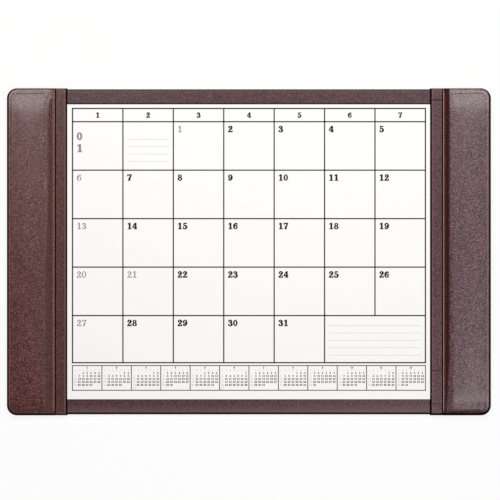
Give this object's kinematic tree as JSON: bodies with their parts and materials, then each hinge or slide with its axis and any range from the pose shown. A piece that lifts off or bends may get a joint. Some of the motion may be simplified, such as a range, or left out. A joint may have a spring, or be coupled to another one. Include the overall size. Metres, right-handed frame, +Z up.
{
  "type": "desk pad",
  "caption": "Flat leather desk pad with padded side rails whose sewn bands hold a tucked-in month calendar pad, which slides sideways under them.",
  "frame": {"origin": "on the desk, under the middle of the pad", "axes": "+X along the pad's width to the user's right, +Y from front to back, +Z up from the desk"},
  "size_m": [0.648, 0.438, 0.0148],
  "materials": {
    "rail_leather": "satin",
    "band_leather": "satin",
    "face_leather": "satin",
    "thread": "matte",
    "felt": "matte",
    "board": "matte",
    "foam": "matte",
    "card": "matte",
    "binding": "matte",
    "paper": "matte"
  },
  "bodies": {
    "pad": {"felt_backing": "felt", "base_board": "board", "face_cover": "face_leather", "left_rail_foam": "foam", "right_rail_foam": "foam", "left_rail_cover": "rail_leather", "right_rail_cover": "rail_leather", "left_band": "band_leather", "right_band": "band_leather", "left_stitching": "thread", "right_stitching": "thread"},
    "calendar": {"calendar_backer": "card", "calendar_binding": "binding", "january_sheet": "paper", "february_sheet": "paper", "march_sheet": "paper", "april_sheet": "paper", "may_sheet": "paper", "june_sheet": "paper", "july_sheet": "paper", "august_sheet": "paper", "september_sheet": "paper", "october_sheet": "paper", "november_sheet": "paper", "december_sheet": "paper"}
  },
  "joints": [
    {"name": "calendar_slide", "type": "slide", "parent": "pad", "child": "calendar", "axis": [1, 0, 0], "range_m": [-0.014, 0.014]}
  ]
}
